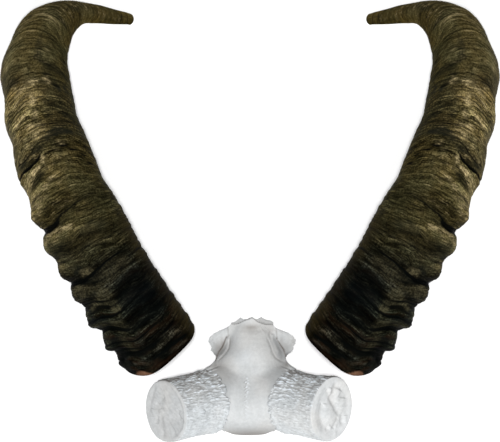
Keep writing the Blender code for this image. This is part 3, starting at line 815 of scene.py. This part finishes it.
def horn_surface():
    """Dark ribbed horn: near black at the base, tan and olive above, pale with wear in streaks; painted
    light and shade on its sides, relief, creases and edges, and painted highlights among the pale
    patches.
    """
    made = Surface("horn_keratin")
    straight = made.attribute("straight")
    along, outer, lining = made.parts(made.attribute("place"))
    crevice, pale, stain_and_shadow = made.parts(made.attribute("marks"))
    slope, fine, edge = made.parts(made.attribute("shade"))
    # Painted light: the outer side paler than the inner side
    facing = made.ranged(outer, 0.3, 0.95)
    colour = made.mixed(facing, made.tones(along, INNER_TONES), made.tones(along, OUTER_TONES))

    shift = made.node("ShaderNodeCombineXYZ")
    made.feed(shift.inputs[2], made.ranged(made.noise(straight, 24, 2), 0.25, 0.75, -0.004, 0.004))
    wavy = made.vector("ADD", straight, shift.outputs[0])
    broad = made.streaks(wavy, (26, 26, 110), 3, 0.6)
    streak = made.streaks(wavy, (40, 40, 380), 3, 0.65)
    thread = made.streaks(wavy, (75, 75, 820))
    long_line = made.streaks(wavy, (16, 16, 520))
    blotch = made.noise(straight, 75, 4, 0.6)
    speck = made.noise(straight, 520, 2, 0.6)
    upper = made.ranged(along, 0.6, 0.72)
    base = made.ranged(along, 0.28, 0.2)
    # Painted light and shade from the fine relief: its crests lighter and its hollows darker, most
    # strongly near the base, with the grain patterns below multiplied in
    painted_relief_light = made.ranged(fine, -0.8, 0.8, 0.62, 1.42)
    strength = made.between(base, painted_relief_light, made.ranged(fine, -0.7, 0.7, 0.32, 1.95))
    for pattern, spread, low_part, high_part in (
        (broad, 0.16, (0.7, 1.3), (0.82, 1.18)),
        (streak, 0.16, (0.46, 1.56), (0.66, 1.34)),
        (thread, 0.13, (0.34, 1.72), (0.55, 1.46)),
        (long_line, 0.16, (0.7, 1.3), (0.55, 1.38)),
        (blotch, 0.16, (0.8, 1.2), (0.84, 1.16)),
        (speck, 0.13, (0.42, 1.62), (0.56, 1.44)),
    ):
        low_shares = made.ranged(pattern, 0.5 - spread, 0.5 + spread, *low_part)
        high_shares = made.ranged(pattern, 0.5 - spread, 0.5 + spread, *high_part)
        strength = made.product(strength, made.between(upper, low_shares, high_shares))
    detail = made.ramp(along, [(place, (share,) * 3) for place, share in DETAIL_STRENGTHS])
    strength = made.maths("POWER", strength, made.product(detail, 1.25))
    greyer = made.mixed(made.ranged(strength, 0.5, 2.2), (1, 1, 0.92), (1, 0.99, 1.06))
    colour = made.times(made.times(colour, strength), greyer)
    tint = made.ranged(made.noise(straight, 34, 3, 0.6), 0.38, 0.6)
    colour = made.times(colour, made.mixed(tint, (1.05, 1, 0.88), (0.95, 1.01, 1.03)))
    seam = made.streaks(wavy, (18, 18, 150), 2, 0.5)
    crack = made.maths("ABSOLUTE", made.maths("SUBTRACT", seam, 0.5))
    broken = made.ranged(made.noise(straight, 45, 3, 0.6), 0.44, 0.5, 1, 0)
    crack = made.maths("MAXIMUM", made.ranged(crack, 0.004, 0.018, 0.22, 1), broken)
    colour = made.times(colour, crack)
    reddish = made.product(made.ranged(broad, 0.5, 0.66), made.ranged(along, 0.24, 0.12, 0, 0.6))
    colour = made.mixed(reddish, colour, seen(38, 25, 15))

    # Dark patches, partly stains and partly painted shadow
    darkened = made.product(stain_and_shadow, made.ranged(broad, 0.3, 0.62, 0.75, 1))
    colour = made.mixed(made.maths("MINIMUM", darkened, 0.88), colour, made.tones(along, STAIN_AND_SHADOW_TONES))
    # Painted light and shade: faces of the relief turned towards the tip lighter, those turned towards
    # the base darker
    colour = made.times(colour, made.ranged(slope, 0.22, 0.8, 1.5, 0.45))

    # Pale patches, partly wear and partly painted highlights on knobs and the lips of cracks, broken up
    # by flakes
    flakes = made.streaks(wavy, (70, 70, 260), 5, 0.7)
    keel_lines = made.streaks(straight, (430, 430, 55))
    worn_and_highlit_upper = made.ranged(flakes, 0.44, 0.54, 0.1, 1.1)
    worn_and_highlit_base = made.ranged(keel_lines, 0.38, 0.62, 0.25, 1)
    worn_and_highlit = made.product(pale, made.between(base, worn_and_highlit_upper, worn_and_highlit_base))
    everywhere = made.product(made.ranged(flakes, 0.56, 0.68), made.ranged(along, 0.26, 0.42, 0.05, 0.45))
    everywhere = made.product(everywhere, made.ranged(outer, 0.35, 0.9))
    worn_and_highlit = made.maths("MINIMUM", made.maths("ADD", worn_and_highlit, everywhere), 1)
    worn_and_highlit_tone = made.times(made.tones(along, WORN_AND_HIGHLIGHT_TONES), made.ranged(speck, 0.34, 0.66, 0.75, 1.25))
    worn_and_highlit_tone = made.times(worn_and_highlit_tone, made.ranged(strength, 0.3, 1.8, 0.6, 1.3))
    colour = made.mixed(made.product(worn_and_highlit, 0.88), colour, worn_and_highlit_tone)

    rim_share = made.product(made.ranged(edge, 0.26, 0.62), made.ranged(outer, 0.55, 0.3))
    rim_share = made.product(rim_share, made.ranged(along, 0.34, 0.28, 0, 0.85))
    rim_tone = made.times(made.tones(along, RIM_TONES), made.ranged(streak, 0.36, 0.64, 0.65, 1.35))
    colour = made.mixed(rim_share, colour, rim_tone)
    # A greyer, paler tone along the outer side's edge, from about half the length to three quarters of it
    outer_edge_grey = made.product(made.ranged(edge, 0.3, 0.8), made.ranged(outer, 0.8, 0.95))
    outer_edge_grey = made.product(outer_edge_grey, made.ranged(along, 0.46, 0.54, 0, 0.72))
    outer_edge_grey = made.product(outer_edge_grey, made.ranged(along, 0.76, 0.68))
    colour = made.mixed(outer_edge_grey, colour, seen(80, 75, 59))
    # Painted light: brighter towards the sides seen edge-on, where the light falls off
    colour = made.times(colour, made.ranged(edge, 0.12, 0.9, 0.94, 2.1))
    # Painted shade: creases and hollows darkened towards near black, less so towards the tip
    deep = made.product(made.ranged(crevice, 0.15, 0.8), made.ranged(along, 0.55, 0.7, 0.97, 0.7))
    colour = made.mixed(deep, colour, seen(6, 8, 7))
    inside = made.mixed(made.ranged(blotch, 0.35, 0.65), seen(88, 60, 44), seen(126, 94, 74))
    colour = made.mixed(lining, colour, inside)
    made.dress(colour, made.ranged(streak, 0.3, 0.7, 0.5, 0.74), HORN_GLOSS)
    made.bump(made.maths("ADD", made.product(streak, 0.7), made.product(thread, 0.5)), 0.0012, 0.55)
    return made.material


def core_frame(side):
    """The middle of a core's cut end, and its own directions: along outward, across and above."""
    rise = math.radians(CORE_RISE)
    sweep = math.radians(CORE_SWEEP)
    level = math.cos(rise)
    along = np.array([level * math.cos(sweep), -level * math.sin(sweep), math.sin(rise)])
    across = np.array([math.sin(sweep), math.cos(sweep), 0])
    above = np.cross(along, across)
    mirror = np.array([side, 1, 1])
    return np.array(CORE_END) * mirror, along * mirror, across * mirror, above * mirror


def core_radius(depth):
    return eased(CORE_RADII, depth, 6)


def core_top(x, y, side, gap):
    """The height of a core's upper side over a place on the plate, or far below where there is none."""
    end, along, _, _ = core_frame(side)
    inward = -along
    a = x - end[0]
    b = y - end[1]
    m = a * inward[0] + b * inward[1]
    depth = np.full_like(x, CORE_RIM_DEPTH)
    for _ in range(4):
        radius = core_radius(np.clip(depth, 0, CORE_LENGTH)) - gap
        room = (m * inward[2]) ** 2 - (1 - inward[2] ** 2) * (a * a + b * b - m * m - radius**2)
        height = (m * inward[2] + np.sqrt(np.maximum(room, 0))) / (1 - inward[2] ** 2)
        depth = m + height * inward[2]
    return np.where(room > 0, height + end[2], -60)


def plate_folds(x, y, table):
    """The folds' height at each place, and how deep the grooves among them are."""
    height = np.zeros_like(x)
    groove = np.zeros_like(x)
    for line, half, rise in table:
        distance, share = distance_to_line(x, y, line)
        ends = smooth_step(share, 0, 0.12) * smooth_step(share, 1, 0.85)
        fold = rise * ends * bell(distance, half)
        height += fold
        groove += np.clip(-fold, 0, None)
    return height, groove


def suture_bumps(x, y):
    """The short seam down the middle of the dome: a jagged line that fades towards the rear."""
    wave = 1.5 * np.abs((y * 0.42) % 2 - 1) + 0.7 * np.sin(y * 2.9 + 1) + 0.5 * np.sin(y * 1.1)
    reach = smooth_step(y, -26, -18) * smooth_step(y, 32, 27)
    strength = 0.4 + 0.6 * smooth_step(y, 6, 18)
    beads = 0.6 + 0.6 * np.sin(y * 1.7) * np.sin(y * 0.6 + 0.5)
    ridge = bell(x + 1.8 + 1.6 * wave, 1.1) - 0.8 * bell(x + 3.6 + 1.6 * wave, 0.9)
    return 1.7 * reach * strength * beads * ridge


def plate_height(x, y):
    """The height of the plate's upper face: the arched forehead, the collars and the orbit rims."""
    half = eased(FOREHEAD_HALF_WIDTHS, y, 3)
    outline = eased(OUTLINE_HALF_WIDTHS, y, 1.5)
    inside = np.clip(1 - (np.abs(x) / half) ** FOREHEAD_SQUARENESS, 0, 1)
    forehead = eased(FOREHEAD_HEIGHTS, y, 9) * inside ** (1 / FOREHEAD_SQUARENESS)
    forehead = forehead - 2.8 * bell(x - 1, 14) * bell(y - 87, 7)
    forehead = forehead + 1.2 * bell(x, 30) * bell(y - 54, 11)
    for middle in (-20, 20):
        forehead = forehead - 4 * bell(x - middle, 11) * bell(y - 31, 10)
    reach = np.clip((np.abs(x) - half) / np.maximum(outline - half, 1), 0, 1)
    wing = eased(WING_FLOOR_HEIGHTS, y, 5) + WING_RIM_RISE * reach**1.4
    height = smooth_highest(forehead, wing, 6)
    for side in (-1, 1):
        collar = core_top(x, y, side, COLLAR_GAP)
        height = smooth_highest(height, collar, COLLAR_BLEND)
    folds, groove = plate_folds(x, y, PLATE_FOLDS)
    for middle_x, middle_y, spread, rise in WING_KNOBS:
        folds = folds + rise * bell(np.hypot(x - middle_x, y - middle_y), spread)
    return np.maximum(height + folds + suture_bumps(x, y), EDGE_HEIGHT), groove


def plate_body_mesh(name):
    """The plate without its cores: a closed block with a flat underside and the modelled upper face."""
    columns = np.linspace(-1, 1, PLATE_COLUMNS + 1)
    columns = 0.4 * np.sin(columns * math.pi / 2) + 0.6 * columns
    forward = np.linspace(PLATE_REAR, PLATE_FRONT, PLATE_ROWS + 1)
    share, y = np.meshgrid(columns, forward)
    ragged = 0.8 * np.sin(y * 1.9) * np.sin(y * 0.71 + share) + 0.5 * np.sin(y * 3.3 + 2 * share)
    ragged = ragged * smooth_step(y, 50, 56) * smooth_step(y, 92, 86)
    x = share * (eased(OUTLINE_HALF_WIDTHS, y, 1.2) + ragged * np.abs(share) ** 6)
    z, _ = plate_height(x, y)
    z[0] = FOREHEAD_HEIGHTS[0][1] / 2
    x_front = x[-1]
    torn = np.interp(x_front, *zip(*FRONT_RIM)) + 0.35 * np.sin(x_front * 2.3)
    torn = torn + 0.25 * np.sin(x_front * 4.1)
    y = y + (torn - PLATE_FRONT) * smooth_step(y, 80, PLATE_FRONT)
    top = together(x + plate_drift(y), y, z)
    shelf = np.maximum(np.interp(x_front, *zip(*FRONT_SHELF)), torn + 0.3)
    low = np.minimum(FRONT_SHELF_HEIGHT, z[-1] - 1)
    front_x = x_front + plate_drift(torn)
    under_rim = z[-1] * 0.4 + low * 0.6
    for reach, height in ((0, under_rim), (0.06, low + 0.4), (0.5, low + 0.2), (1, low - 0.8)):
        row_y = torn + (shelf - torn) * reach + 0.15 * (reach == 0)
        top = np.concatenate([top, together(front_x, row_y, height)[None]])

    rows, width = top.shape[:2]
    index = np.arange(rows * width).reshape(rows, width)
    cells = together(index[:-1, :-1], index[:-1, 1:], index[1:, 1:], index[1:, :-1])
    faces = cells.reshape(-1, 4).tolist()
    rim = np.concatenate([index[0], index[1:, -1], index[-1, -2::-1], index[-2:0:-1, 0]])
    points = top.reshape(-1, 3)
    edge = points[rim]
    middle = np.array([0, 25, 0])
    upper = rim
    for number in range(1, WALL_ROWS + 1):
        drop = number / WALL_ROWS
        ring = edge.copy()
        ring[:, :2] = middle[:2] + (edge[:, :2] - middle[:2]) * (1 - 0.05 * drop**3)
        ring[:, 2] = edge[:, 2] * (1 - drop)
        lower = len(points) + np.arange(len(rim))
        points = np.concatenate([points, ring])
        faces += together(np.roll(upper, -1), upper, lower, np.roll(lower, -1)).tolist()
        upper = lower
    centre = len(points)
    faces += [(int(ahead), int(here), centre) for ahead, here in zip(np.roll(upper, -1), upper)]
    return grid_mesh(name, np.concatenate([points, middle[None]]), faces)


def core_roughness(depth, degrees, seed):
    """The flaky skin of a core: long wavy ridges parted by thin lines, with grit on them."""
    swirl = degrees + 2.4 * patchy(seed + 1, depth, degrees, 8, 28)
    slide = depth + 1.4 * patchy(seed + 2, depth, degrees, 7, 36)
    ridges = 2.6 * np.abs(patchy(seed + 3, slide, swirl, 9.5, 150)) - 1
    flakes = 2.4 * np.abs(patchy(seed + 4, slide, swirl, 5.2, 225)) - 0.9
    grit = patchy(seed + 5, slide, swirl, 2.4, 260)
    return 0.5 * ridges + 0.46 * flakes + 0.22 * grit


def core_flare(depth, degrees, side):
    """How much a core's cut end stands out from a circle at each angle."""
    flare = np.zeros_like(degrees)
    for middle, spread, width in CORE_FLARES[side]:
        flare += width * bell((degrees - middle + 180) % 360 - 180, spread)
    return flare * smooth_step(depth, 38, 0)


def core_rim_depth(degrees, seed):
    """How far from its cut end a core's rough skin reaches, at angles from across towards above."""
    ragged = 2.8 * patchy(seed + 7, degrees * 0, degrees, 10, 84)
    ragged = ragged + 1.4 * patchy(seed + 8, degrees * 0, degrees, 10, 30)
    return CORE_RIM_DEPTH + ragged


def core_mesh(name, side):
    """One horn core, from its cut end down into the plate."""
    seed = CORE_SEEDS[side]
    end, along, across, above = core_frame(side)
    degrees = np.arange(CORE_SIDES) * 360 / CORE_SIDES
    shown = np.arange(0, CORE_RIM_DEPTH + 5, CORE_ROW_STEP)
    depths = np.concatenate([shown, np.linspace(CORE_RIM_DEPTH + 8, CORE_LENGTH, 12)])
    depth, angle = np.meshgrid(depths, degrees, indexing="ij")
    rim = core_rim_depth(angle, seed)
    skin = smooth_step(depth, 0.5, 3.5) * smooth_step(depth, rim + 1, rim - 1)
    swollen = bell(depth - rim + 3, 4)
    rough = core_roughness(depth, angle, seed)
    radius = core_radius(depth) + core_flare(depth, angle, side)
    steep = 0.65 + 0.35 * smooth_step(cosine(angle), 0, 0.9) + 0.3 * swollen
    radius = radius + skin * (0.1 + rough * steep + 0.4 * swollen)
    radius = radius - 5 * smooth_step(depth, rim - 0.8, rim + 1.6)
    radius = radius - 0.9 * bell(depth, 0.9)
    shares = np.linspace(1, 0, CORE_CAP_ROWS + 1)[1:-1]
    cap_share, cap_angle = np.meshgrid(shares, degrees, indexing="ij")
    relief, _ = end_relief(cap_share * cosine(cap_angle), cap_share * sine(cap_angle), side, seed)
    centre_relief = float(end_relief(np.zeros(1), np.zeros(1), side, seed)[0][0])

    def placed(depth_here, radius_here, angle_here):
        around = cosine(angle_here)[..., None] * across + sine(angle_here)[..., None] * above
        return end - depth_here[..., None] * along + radius_here[..., None] * around

    cap_rows = placed(-relief, radius[0][None, :] * cap_share, cap_angle)
    rings = np.concatenate([placed(depth, radius, angle)[::-1], cap_rows])
    return closed_mesh(name, rings, end + along * centre_relief, end - along * depths[-1], side < 0)


def end_relief(u, v, side, seed):
    """Height of a cut end's face, u towards the front and v towards the top, as shares of its radius."""
    span = np.hypot(u, v)
    slant = u + 0.6 * v
    soft = patchy(seed + 11, 30 * v, 180 * slant, 9, 14)
    soft = soft + 0.6 * patchy(seed + 12, 30 * v, 180 * slant, 4, 34)
    relief = (0.7 if side < 0 else 0.4) * soft * smooth_step(span, 0.97, 0.8)
    inside = smooth_step(span, 0.97, 0.86)
    if side < 0:
        lip = 0.9 * bell(span - 0.93, 0.05) * smooth_step(v, -0.3, 0.5)
        folds, groove = plate_folds(u, v, LEFT_END_FOLDS)
        return relief + lip + folds * inside, 0.8 * np.clip(-soft, 0, 1) + groove * inside
    inner = smooth_step(span + 0.08 * v, 0.92, 0.7)
    mound = 2.6 * bell(u + 0.16, 0.34) * bell(v - 0.1, 0.3)
    hollow = 1.2 * bell(np.hypot(u + 0.34, v - 0.26), 0.13)
    folds, groove = plate_folds(u, v, END_FOLDS)
    return relief - 1.3 * inner + (mound - hollow + folds) * inside, groove * inside


def boolean(target, tool, operation):
    step = target.modifiers.new(operation.lower(), "BOOLEAN")
    step.operation = operation
    step.solver = "MANIFOLD"
    step.object = tool


def box_mesh(name, low, high):
    corners = [(x, y, z) for x in (low[0], high[0]) for y in (low[1], high[1]) for z in (low[2], high[2])]
    sides = [(0, 1, 3, 2), (4, 6, 7, 5), (0, 4, 5, 1), (2, 3, 7, 6), (0, 2, 6, 4), (1, 5, 7, 3)]
    return grid_mesh(name, corners, sides)


def joined_plate_mesh():
    """The plate and both cores as one closed surface, cut flat at the floor."""
    body = add_object("plate_body", plate_body_mesh("plate_body"))
    names = (("core_left", -1), ("core_right", 1))
    cores = [add_object(name, core_mesh(name, side)) for name, side in names]
    floor_cut = add_object("floor_cut", box_mesh("floor_cut", (-300, -300, -200), (300, 300, 0)))
    for core in cores:
        boolean(body, core, "UNION")
    boolean(body, floor_cut, "DIFFERENCE")
    bpy.context.view_layer.update()
    evaluated = body.evaluated_get(bpy.context.evaluated_depsgraph_get())
    mesh = bpy.data.meshes.new_from_object(evaluated)
    for made in [body, floor_cut, *cores]:
        bpy.data.objects.remove(made)
    mesh.name = "skull_plate_cast"
    mesh.materials.clear()
    return mesh


def plate_drift(y):
    """How far the plate's middle line stands to the right at each place along it."""
    return FRONT_DRIFT * np.maximum(y, 0) + 1.6 * bell(y - 66, 10)


def mark_plate(mesh):
    """Give the plate's points the values that colour them, painted shade and highlights among them, and
    move them to the plate's place.
    """
    flat = np.empty(len(mesh.vertices) * 3)
    mesh.vertices.foreach_get("co", flat)
    points = flat.reshape(-1, 3) / MILLIMETRE
    across = points[:, 0] - plate_drift(points[:, 1])
    forward = points[:, 1]
    _, groove = plate_height(across, forward)
    # Painted shade in the grooves
    shade_and_highlight = 0.8 * np.clip(groove / 2.5, 0, 1) ** 1.3
    # Painted shade in the listed places
    for middle_x, middle_y, spread_x, spread_y, strength in PLATE_SHADE_SPOTS:
        shade_and_highlight = shade_and_highlight + strength * bell(across - middle_x, spread_x) * bell(forward - middle_y, spread_y)
    # Painted shade along the front rim, and painted light and shade on the seam's bumps and grooves
    rim_line = bell(forward - np.interp(across, *zip(*FRONT_RIM)), 0.7) * (np.abs(across) < 31)
    shade_and_highlight = shade_and_highlight + 0.24 * rim_line - 0.34 * suture_bumps(across, forward)
    rough = np.zeros(len(points))
    light_gain = np.ones(len(points))
    skin = points.copy()
    for side in (-1, 1):
        seed = CORE_SEEDS[side]
        end, along, sideways, above = core_frame(side)
        away = points - end
        depth = -(away @ along)
        u = away @ sideways
        v = away @ above
        radius = np.maximum(np.hypot(u, v), 1e-6)
        front = u / radius
        angle = np.degrees(np.arctan2(v, u)) % 360
        inner_depth = np.clip(depth, 0, CORE_LENGTH)
        full = core_radius(inner_depth) + core_flare(inner_depth, angle, side)
        relief = radius - full
        rim = core_rim_depth(angle, seed)
        outside = (relief > -CORE_SKIN_DEPTH) & (depth > 0.6) & (depth < rim + 0.8)
        rough = np.where(outside, 1, rough)
        grain = core_roughness(inner_depth, angle, seed)
        lee = core_roughness(inner_depth, angle + 1.3, seed)
        lee = lee - core_roughness(inner_depth, angle - 1.3, seed)
        # Painted light and shade on the core skin: pits darkened and crests lightened, more on the side
        # turned from the light, a dark line where the upper side turns away, and shading by the skin's
        # slope round the core
        sheltered = smooth_step(front, -0.75, 1)
        crest = smooth_step(grain, 0.2, 0.8)
        pit = smooth_step(grain, 0.25, -0.65)
        upper_edge_shade = 0.55 * smooth_step(front, 0.91, 0.985)
        shaded = (0.06 + 0.68 * sheltered**3.4) * pit - (0.14 + 0.66 * sheltered**2.4) * crest
        shaded = shaded + upper_edge_shade + 0.12 * lee * (0.2 + sheltered)
        shade_and_highlight = np.where(outside, np.clip(shaded, -1, 0.9), shade_and_highlight)
        # Painted light: the core skin lighter, most towards its lit rear side
        light_gain = np.where(outside, 1.045 + 0.08 * smooth_step(front, 0.2, -0.8), light_gain)
        local = together(u, v, depth * 0.4 + 200 * side)
        skin = np.where(outside[:, None], local, skin)
        # Painted light on the right cut end, painted shade on the left one, and painted shade in the
        # ends' creases
        on_end = (depth < 7) & (radius < full - 0.5) & (depth > -9)
        light_gain = np.where(on_end, END_LIGHT_GAINS[side], light_gain)
        _, crease = end_relief(u / full, v / full, side, seed)
        shade_and_highlight = np.where(on_end, 0.15 * np.clip(crease / 1.6, 0, 1), shade_and_highlight)
    add_attribute(mesh, "marks", together(rough, np.clip(shade_and_highlight, -1, 1), light_gain))
    add_attribute(mesh, "skin", skin * MILLIMETRE)
    points = points + np.array([*PLATE_PLACE, 0])
    mesh.vertices.foreach_set("co", (points * MILLIMETRE).ravel())
    mesh.update()


def plaster_surface():
    """White cast plaster: smooth on the plate, flaky on the cores, with painted shade in its grooves,
    hollows and pits and painted highlights on the crests of flakes.
    """
    made = Surface("cast_plaster")
    place = made.node("ShaderNodeTexCoord").outputs["Object"]
    skin = made.attribute("skin")
    rough, shade_and_highlight, light_gain = made.parts(made.attribute("marks"))
    cloud = made.noise(place, 45, 4, 0.6)
    speck = made.noise(place, 420, 3, 0.6)
    warmth = made.noise(place, 22, 2, 0.5)
    colour = made.mixed(made.ranged(cloud, 0.35, 0.68), PLASTER_SHADE, PLASTER_LIGHT)
    colour = made.mixed(made.ranged(warmth, 0.45, 0.65, 0, 0.5), colour, PLASTER_WARM)
    colour = made.mixed(made.ranged(speck, 0.56, 0.72, 0, 0.16), colour, PLASTER_SPECK)
    mottle = made.noise(place, 250, 3, 0.65)
    colour = made.times(colour, made.ranged(mottle, 0.36, 0.64, 0.945, 1.045))
    flake = made.noise(skin, 330, 3, 0.65)
    facet = made.mixed(made.ranged(flake, 0.36, 0.64), *FACET_TINTS)
    colour = made.mixed(rough, colour, made.times(colour, facet))
    # Painted shade in a brownish tone, and painted highlights on crests in bluish white
    colour = made.mixed(made.ranged(shade_and_highlight, 0, 1, 0, 0.92), colour, SHADE_COLOUR)
    colour = made.mixed(made.ranged(shade_and_highlight, 0, -1), colour, CREST_HIGHLIGHT_COLOUR)
    # Painted light and shade on the cut ends and the core skin
    colour = made.times(colour, light_gain)
    made.dress(colour, made.ranged(cloud, 0.3, 0.7, 0.74, 0.88), PLASTER_GLOSS)
    grain = made.noise(place, 620, 3, 0.6)
    pores = made.product(flake, rough)
    height = made.maths("ADD", made.product(grain, 0.25), made.product(pores, 1.5))
    made.bump(height, 0.0009, 0.6)
    return made.material


def floor_and_light():
    """A plain pale floor, a soft lamp beside the camera, a soft key light and a dim sky."""
    floor = bpy.data.meshes.new("floor")
    corners = [(x * FLOOR_REACH, y * FLOOR_REACH, 0) for x, y in ((-1, -1), (1, -1), (1, 1), (-1, 1))]
    floor.from_pydata(corners, [], [(0, 1, 2, 3)])
    pale = Surface("pale_floor")
    pale.dress(FLOOR_COLOUR, 0.9, 0)
    floor.materials.append(pale.material)
    add_object("floor", floor)

    world = bpy.data.worlds.new("studio")
    world.use_nodes = True
    background = world.node_tree.nodes["Background"]
    background.inputs["Color"].default_value = (1, 1, 1, 1)
    background.inputs["Strength"].default_value = SKY_STRENGTH
    bpy.context.scene.world = world

    lamp_data = bpy.data.lights.new("lamp", "AREA")
    lamp_data.shape = "DISK"
    lamp_data.size = LAMP_SIZE
    lamp_data.energy = LAMP_WATTS
    add_object("lamp", lamp_data).location = Vector(CAMERA_PLACE) + Vector((0, 0, LAMP_RISE))

    key_data = bpy.data.lights.new("key", "SUN")
    key_data.energy = KEY_STRENGTH
    key_data.angle = math.radians(KEY_SOFTNESS)
    key = add_object("key", key_data)
    key.rotation_euler = Vector(KEY_DIRECTION).to_track_quat("Z", "Y").to_euler()


def camera_above():
    lens = bpy.data.cameras.new("camera")
    lens.lens = CAMERA_LENS
    lens.sensor_width = CAMERA_SENSOR
    camera = add_object("camera", lens)
    camera.location = CAMERA_PLACE
    bpy.context.scene.camera = camera
    bpy.context.scene.view_settings.view_transform = "Standard"


camera_above()
floor_and_light()
horn = horn_surface()
add_piece("horn_sheath_left", horn_mesh("horn_sheath_left", -1), horn, "horn_left")
add_piece("horn_sheath_right", horn_mesh("horn_sheath_right", 1), horn, "horn_right")
plate_mesh = joined_plate_mesh()
mark_plate(plate_mesh)
add_piece("skull_plate_cast", plate_mesh, plaster_surface(), "skull_plate")
